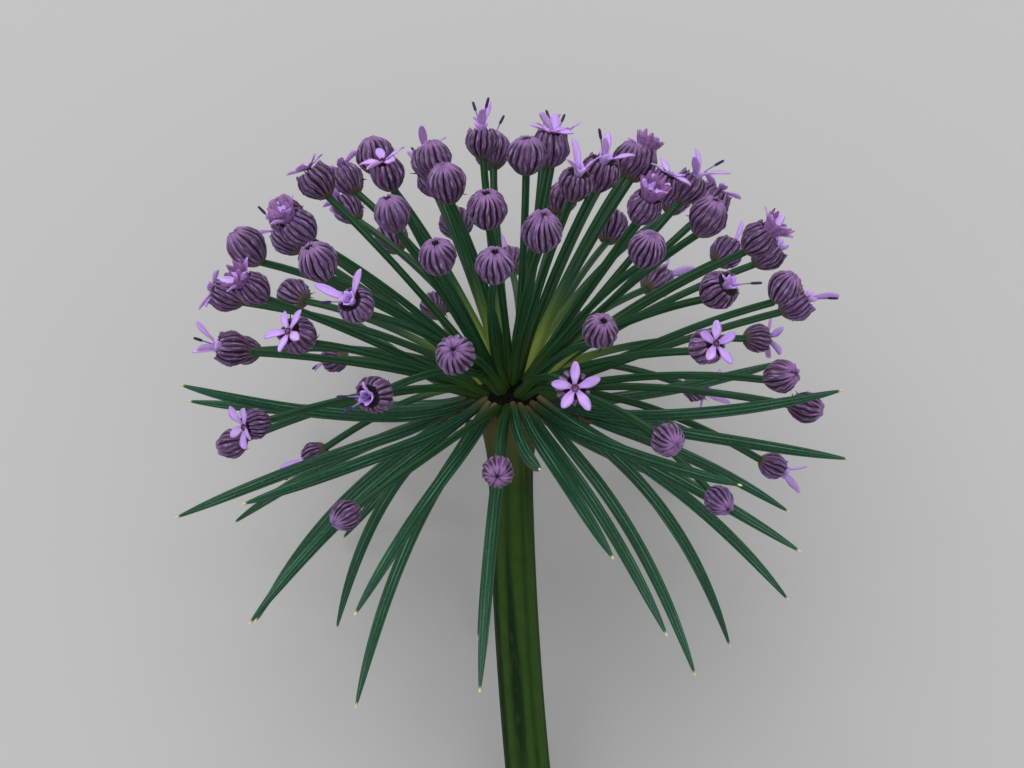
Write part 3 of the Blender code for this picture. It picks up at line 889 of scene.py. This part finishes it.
CUPS = {
    "open": {"rings": TUBE_RINGS, "pleats": 5, "ruffle": 0.3, "teeth": 0.3, "skin": 0, "lift": 0.0},
    "torn": {"rings": SKIRT_RINGS, "pleats": 12, "ruffle": 0.2, "teeth": 0.5, "skin": 1, "lift": 0.0},
    "star": {"rings": EYE_RINGS, "pleats": 5, "ruffle": 0.2, "teeth": 0.1, "skin": 2, "lift": 0.2},
}


def petal_outline(way):
    """How wide a petal is along it: a narrow claw, widest past the middle, and a blunt point."""
    claw = PETAL_CLAW + (1 - PETAL_CLAW) * smooth((way - CLAW_START) / CLAW_REACH)
    point = max(way - PETAL_WIDEST, 0) / (1 - PETAL_WIDEST)
    return claw * math.sqrt(1 - PETAL_NARROWING * point**POINT_BLUNTNESS)


def grow_petal(bm, where, length, width, curl, draw):
    """One petal along +X: a sheet drawn to its outline, channelled, curled and waved."""
    cells, rows = PETAL_CELLS
    made = bmesh.ops.create_grid(bm, x_segments=cells, y_segments=rows, size=0.5)["verts"]
    channel = draw.uniform(*PETAL_CHANNEL)
    twist = draw.uniform(-PETAL_TWIST, PETAL_TWIST)
    tint = draw.random()
    sway = draw.uniform(-PETAL_SWAY, PETAL_SWAY) * length
    for vert in made:
        way, across = vert.co.x + 0.5, vert.co.y * 2
        side = across * width / 2 * petal_outline(way)
        wave = PETAL_WAVE * width * math.sin(WAVE_TURNS * way + WAVE_SHIFT * tint) * across
        lift = channel * abs(side * across) + curl * length * way**2 + twist * side * way + wave
        vert.co = Vector((way * length, side + sway * way**2, lift))
        mark(bm, vert, (way * 4, across + 9 * tint, tint), way, abs(across), tint)
    bmesh.ops.transform(bm, matrix=where, verts=made)


def grow_cup(bm, where, rings, pleats, ruffle, teeth, draw):
    """A thin open cup: a circle extruded up through rings of radius and height in millimetres,
    more pleated and toothed towards its rim."""
    local = bm.verts.layers.float_vector["local"]
    ring, rim = first_ring(bm, POINTS_A_PLEAT * pleats)
    longer = [draw.uniform(*TOOTH_LENGTH) for _ in range(pleats)]
    tint = draw.random()
    made = []
    for i, (radius, height) in enumerate(rings):
        if i:
            ring, rim = next_ring(bm, rim)
        way = i / (len(rings) - 1)
        for vert in ring:
            x, y, _ = vert[local]
            turn = math.atan2(y, x)
            crest = abs(math.cos(turn * pleats / 2))
            tall = longer[round(turn * pleats / (2 * math.pi)) % pleats]
            wide = radius * (1 + ruffle * way * (crest - 0.5))
            tooth = teeth * way**TOOTH_START * crest**TOOTH_POINT * tall
            vert.co = Vector((x * wide, y * wide, height + tooth)) * MM
            mark(bm, vert, (x, y, way * 2), way, 1 - crest, tint)
        made += ring
    bmesh.ops.transform(bm, matrix=where, verts=made)


def petal_like(name, light, dark, heart, vein_share):
    """A thin soft petal's skin: veined lengthwise, and darker in its heart and folds."""
    skin = Skin(name, Subsurface_Weight=0.3, Subsurface_Scale=0.3 * MM, Specular_IOR_Level=0.3)
    along = skin.mark("along")
    vein = skin.grain(3.0, (0.15, 1, 1), 3.0)
    skin.colour = skin.blend(skin.mark("tint"), light, dark)
    skin.lay(vein, 0.45, 0.7, vein_share, heart)
    skin.lay(along, 0.45, 0.0, 0.8, heart)
    skin.lay(skin.mark("groove"), 0.6, 1, 0.45, heart)
    skin.wear(skin.reach(vein, 0.3, 0.7, 0.45, 0.6), vein, 0.03 * MM)
    return skin


lilacs = shade(208, 174, 243), shade(188, 152, 235), shade(148, 100, 178)
petal_skin = petal_like("petal_skin", *lilacs, 0.35)
purples = shade(160, 116, 176), shade(136, 92, 150), shade(62, 32, 68)
skirt_skin = petal_like("skirt_skin", *purples, 0.6)
eye_skin = Skin("eye_skin", Specular_IOR_Level=0.3)
crumbs = eye_skin.grain(5.0, (1, 1, 1))
worn = eye_skin.reach(crumbs, 0.4, 0.65)
eye_skin.colour = eye_skin.blend(worn, shade(64, 34, 40), shade(118, 78, 60))
eye_skin.wear(eye_skin.reach(crumbs, 0.3, 0.7, 0.6, 0.8), crumbs, 0.06 * MM)

for spray, rays in enumerate(sprays):
    bm = new_body()
    for index, line in rays:
        kind, size, spin, petals, _ = floret_plan(index)
        if kind == "bud":
            continue
        draw = random.Random(SEED * 5000 + index)
        axis = globe_axis(index, line)
        cup = CUPS[kind]
        mouth = place(line[-1] + axis * FLORET_RADIUS * size * (MOUTH + cup["lift"]), axis, spin)
        before = len(bm.faces)
        grow_cup(bm, mouth, cup["rings"], cup["pleats"], cup["ruffle"], cup["teeth"], draw)
        bm.faces.ensure_lookup_table()
        for face in bm.faces[before:]:
            face.material_index = cup["skin"]
        width = STAR_WIDTH if kind == "star" else OPEN_WIDTH
        curls = STAR_CURL if kind == "star" else OPEN_CURL
        for turn, rise, length in petals:
            where = mouth @ Matrix.Rotation(turn - spin, 4, "Z") @ Matrix.Rotation(-rise, 4, "Y")
            grow_petal(bm, where, length, width, draw.uniform(*curls), draw)
    if not bm.verts:
        bm.free()
        continue
    name = f"spray_{spray + 1:02}"
    piece = add_piece(name + "_petals", bm, [petal_skin, skirt_skin, eye_skin], "lilac_petal", name)
    thin = piece.modifiers.new("thickness", "SOLIDIFY")
    thin.thickness = PETAL_THICKNESS
    thin.offset = 0

# Stamens
# One or two thin lilac threads that stand out of an open floret's mouth, each with a dull navy
# rod on its end.
STAMEN_LENGTH = 3.5 * MM
STAMEN_SIDES = 8
THREAD_RADIUS = 0.08 * MM
THREAD_BEND = 0.08
THREAD_SHAPE = ((0, 1.2), (0.25, 1), (0.5, 0.9), (0.68, 0.8))
ROD_SHAPE = ((0.7, 1.5), (0.76, 1.9), (0.94, 1.8), (0.99, 1.2), (1, 0.4))
SECOND_STAMEN = 0.6

stamen_skin = Skin("stamen_skin", Specular_IOR_Level=0.35)
along = stamen_skin.mark("along")
fibre = stamen_skin.grain(3.0, (1, 1, 0.5))
outer = stamen_skin.reach(along, 0.2, 0.55)
stamen_skin.colour = stamen_skin.blend(outer, shade(150, 130, 186), shade(96, 88, 128))
stamen_skin.lay(along, 0.42, 0.5, 1, shade(50, 34, 78))
stamen_skin.lay(fibre, 0.4, 0.7, 0.4, shade(40, 28, 60))
stamen_skin.wear(stamen_skin.reach(fibre, 0.3, 0.7, 0.45, 0.7), fibre, 0.03 * MM)

stamen_points = []
stamen_radii = []
for way, wide in THREAD_SHAPE + ROD_SHAPE:
    stamen_points.append(Vector((THREAD_BEND * way**2, 0, way)) * STAMEN_LENGTH)
    stamen_radii.append(THREAD_RADIUS * wide)

for spray, rays in enumerate(sprays):
    bm = new_body()
    for index, line in rays:
        kind, size, _, _, stamens = floret_plan(index)
        draw = random.Random(SEED * 6000 + index)
        axis = globe_axis(index, line)
        mouth = place(line[-1] + axis * FLORET_RADIUS * size * MOUTH, axis)
        if kind == "open" and draw.random() < SECOND_STAMEN:
            turn = draw.uniform(0, 2 * math.pi)
            stamens.append((turn, math.radians(draw.uniform(*STAMEN_LEAN))))
        for turn, lean in stamens:
            where = mouth @ Matrix.Rotation(turn, 4, "Z") @ Matrix.Rotation(lean, 4, "Y")
            grow_stalk(bm, [where @ point for point in stamen_points], stamen_radii, STAMEN_SIDES)
    if not bm.verts:
        bm.free()
        continue
    name = f"spray_{spray + 1:02}"
    add_piece(name + "_stamens", bm, [stamen_skin], "dark_stamen", name)

# Surface and light
# A plain pale surface that the head lies on. A wide soft light stands above it, past the umbel's
# top, and soft daylight comes from all round.
FLOOR_SIZE = 4.0
FLOOR_COLOUR = (0.46, 0.46, 0.45, 1)
DAYLIGHT = (0.97, 0.98, 1.0, 1)
DAYLIGHT_STRENGTH = 0.86
KEY_WAY = Vector((-0.22, 0.58, 0.85)).normalized()
KEY_DISTANCE = 1.0
KEY_SIZE = 1.1
KEY_POWER = 6.0

floor_skin = Skin("floor_skin", Roughness=0.9, Specular_IOR_Level=0.1)
floor_skin.shader.inputs["Base Color"].default_value = FLOOR_COLOUR
bm = bmesh.new()
bmesh.ops.create_grid(bm, x_segments=1, y_segments=1, size=FLOOR_SIZE / 2)
mesh = bpy.data.meshes.new("floor")
bm.to_mesh(mesh)
bm.free()
mesh.materials.append(floor_skin.material)
floor = bpy.data.objects.new("floor", mesh)
bpy.context.scene.collection.objects.link(floor)

world = bpy.data.worlds.new("studio")
bpy.context.scene.world = world
world.use_nodes = True
world.node_tree.nodes["Background"].inputs["Color"].default_value = DAYLIGHT
world.node_tree.nodes["Background"].inputs["Strength"].default_value = DAYLIGHT_STRENGTH
bpy.context.scene.view_settings.view_transform = "Standard"

light = bpy.data.lights.new("key", "AREA")
light.size = KEY_SIZE
light.energy = KEY_POWER
lamp = bpy.data.objects.new("key", light)
lamp.matrix_world = place(CROWN + KEY_WAY * KEY_DISTANCE, KEY_WAY)
bpy.context.scene.collection.objects.link(lamp)
